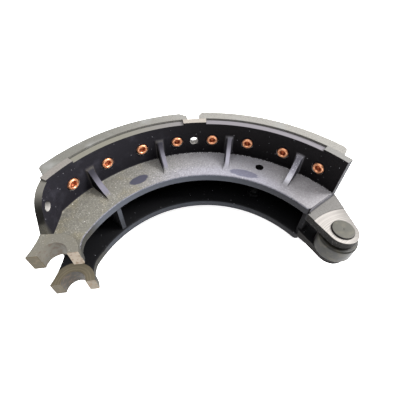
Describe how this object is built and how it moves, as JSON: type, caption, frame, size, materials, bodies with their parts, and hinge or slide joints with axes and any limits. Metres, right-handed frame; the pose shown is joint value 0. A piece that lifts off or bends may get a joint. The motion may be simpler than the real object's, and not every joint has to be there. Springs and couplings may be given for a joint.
{
  "type": "brake shoe",
  "caption": "Cast drum-brake shoe with twin webs, open anchor forks, riveted friction linings and a cam roller on a pin.",
  "frame": {"origin": "on the axis of the anchor pin seats, half way across the shoe", "axes": "+Z along the drum axis, +Y from the anchor towards the linings, +X from the anchor towards the cam roller"},
  "size_m": [0.3456, 0.1773, 0.16],
  "materials": {
    "cast_iron": "as cast with black paint inside the table and bare machined pads, fork ends and ear faces",
    "lining": "ground friction composite, matte, with fine light and dark grains",
    "copper": "copper-plated rivets, satin, darker in the hollow tails",
    "pin_steel": "phosphated steel, turned, satin",
    "roller_steel": "hardened steel, turned, satin"
  },
  "bodies": {
    "shoe": {"shoe_casting": "cast_iron", "lining_anchor_end": "lining", "lining_cam_end": "lining", "lining_rivets": "copper", "roller_pin": "pin_steel"},
    "roller": {"cam_roller": "roller_steel"}
  },
  "joints": [
    {"name": "roller_spin", "type": "hinge", "parent": "shoe", "child": "roller", "pos_m": [0.29964, 0.0138, -0.00095], "axis": [0, 0, 1], "continuous": true}
  ]
}
